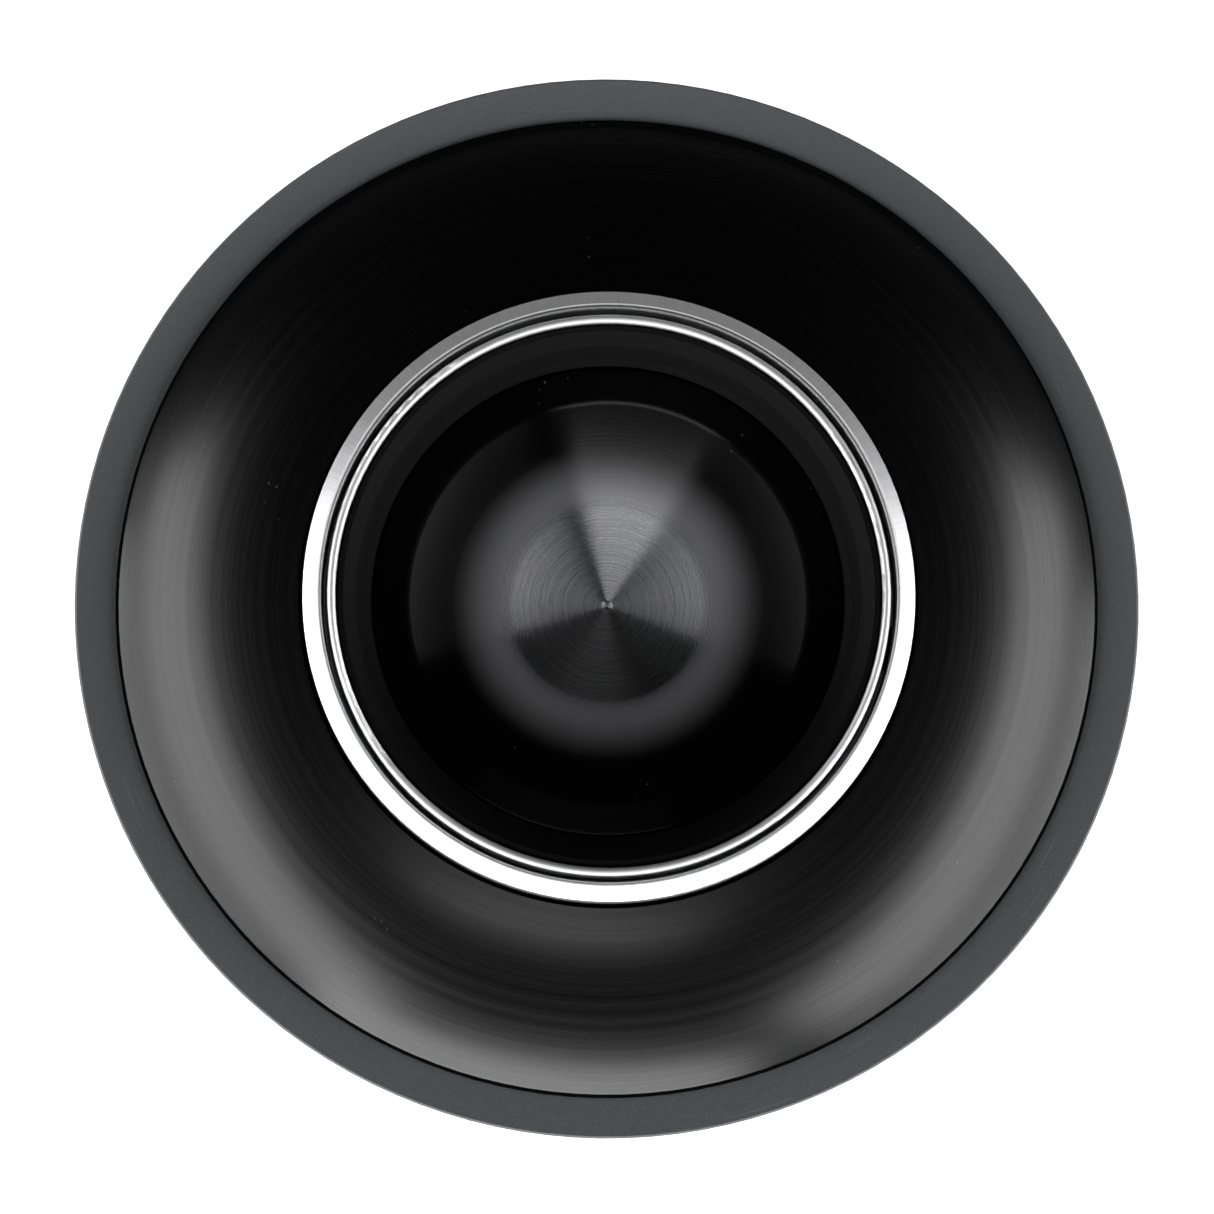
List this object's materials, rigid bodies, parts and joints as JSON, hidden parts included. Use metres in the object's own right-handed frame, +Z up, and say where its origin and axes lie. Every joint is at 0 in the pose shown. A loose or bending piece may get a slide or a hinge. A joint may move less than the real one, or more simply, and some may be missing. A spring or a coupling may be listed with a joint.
{
  "type": "kitchen garbage disposal",
  "caption": "Upright food waste disposer: domed black casing, silver lock ring and dished stopper on top, motor and swivel impellers inside, discharge tube at the back.",
  "frame": {"origin": "mouth of the wrench hole in the bottom cover, on the motor axis and on the floor plane", "axes": "+Z up along the motor axis; +Y towards the discharge tube and the dishwasher inlet; +X towards the cable bushing"},
  "size_m": [0.21, 0.2238, 0.318],
  "materials": {
    "turned_black": "fine concentric turning marks, satin",
    "rubber": "matte black rubber",
    "satin_aluminium": "satin face, polished crest",
    "spring_steel": "bright ground steel",
    "gloss_black": "glossy black shell",
    "matte_charcoal": "matte charcoal with fine speckle and light scuffs",
    "foam": "open-cell sound foam",
    "polished_stainless": "polished stainless steel",
    "cut_stainless": "stamped stainless steel",
    "zinc_steel": "zinc-plated fasteners and pressings",
    "black_plastic": "moulded black plastic",
    "cast_aluminium": "as-cast aluminium",
    "bronze": "sintered bronze",
    "laminations": "stacked steel laminations",
    "copper": "enamelled copper wire",
    "painted_steel": "painted steel band",
    "painted_black_steel": "black powder-coated steel",
    "tan_plastic": "phenolic moulding",
    "red_plastic": "red moulded button",
    "cream_plastic": "moulded terminal block",
    "brass": "brass terminal screws",
    "green_screw": "green earthing screw"
  },
  "bodies": {
    "housing": {"snap_ring": "spring_steel", "mount_cushion": "rubber", "upper_shell": "gloss_black", "rim_shell": "matte_charcoal", "lower_shell": "matte_charcoal", "sound_jacket": "foam", "grind_chamber": "polished_stainless", "chamber_gasket": "rubber", "chamber_screws": "zinc_steel", "dishwasher_inlet": "black_plastic", "inlet_knockout": "black_plastic", "shredder_ring": "cut_stainless", "shaft_seal": "rubber", "end_bell": "cast_aluminium", "drain_chamber": "cast_aluminium", "discharge_gasket": "rubber", "discharge_flange": "zinc_steel", "discharge_tube": "black_plastic", "discharge_bolts": "zinc_steel", "upper_bearing": "bronze", "lower_bearing": "bronze", "stator_core": "laminations", "upper_windings": "copper", "lower_windings": "copper", "motor_band": "painted_steel", "lower_end_frame": "cast_aluminium", "through_bolts": "zinc_steel", "start_switch": "tan_plastic", "start_capacitor": "black_plastic", "capacitor_clip": "zinc_steel", "overload_protector": "black_plastic", "reset_spring": "spring_steel", "terminal_block": "cream_plastic", "terminal_screws": "brass", "ground_screw": "green_screw", "cable_bushing": "black_plastic", "bottom_cover": "painted_black_steel", "cover_screws": "zinc_steel"},
    "rotor": {"motor_shaft": "spring_steel", "rotor_core": "laminations", "rotor_fan_cage": "cast_aluminium", "governor_hub": "tan_plastic", "slinger": "rubber", "turntable": "cut_stainless", "impeller_rivets": "zinc_steel", "turntable_nut": "zinc_steel"},
    "left_impeller": {"impeller_left": "cut_stainless"},
    "right_impeller": {"impeller_right": "cut_stainless"},
    "governor_sleeve": {"governor_collar": "tan_plastic"},
    "mounting_ring": {"lock_ring": "satin_aluminium"},
    "guard": {"splash_guard": "rubber"},
    "stopper_assembly": {"stopper": "turned_black", "stopper_seal": "rubber"},
    "reset": {"reset_button": "red_plastic"}
  },
  "joints": [
    {"name": "rotor_spin", "type": "hinge", "parent": "housing", "child": "rotor", "pos_m": [0, 0, 0.193], "axis": [0, 0, 1], "continuous": true},
    {"name": "left_impeller_swivel", "type": "hinge", "parent": "rotor", "child": "left_impeller", "pos_m": [-0.038, 0, 0.193], "axis": [0, 0, 1], "continuous": true},
    {"name": "right_impeller_swivel", "type": "hinge", "parent": "rotor", "child": "right_impeller", "pos_m": [0.038, 0, 0.193], "axis": [0, 0, 1], "continuous": true},
    {"name": "governor_slide", "type": "slide", "parent": "rotor", "child": "governor_sleeve", "axis": [0, 0, -1], "range_m": [0, 0.003], "stiffness_N_per_m": 300, "springref_m": -0.003},
    {"name": "lock_ring_turn", "type": "hinge", "parent": "housing", "child": "mounting_ring", "pos_m": [0, 0, 0.318], "axis": [0, 0, 1], "range_deg": [0, 40]},
    {"name": "splash_guard_lift", "type": "slide", "parent": "housing", "child": "guard", "axis": [0, 0, 1], "range_m": [0, 0.08]},
    {"name": "stopper_lift", "type": "slide", "parent": "guard", "child": "stopper_assembly", "axis": [0, 0, 1], "range_m": [0, 0.06]},
    {"name": "reset_press", "type": "slide", "parent": "housing", "child": "reset", "axis": [0, 0, 1], "range_m": [0, 0.003], "stiffness_N_per_m": 300, "springref_m": -0.003, "deforming": ["reset_spring"]}
  ]
}
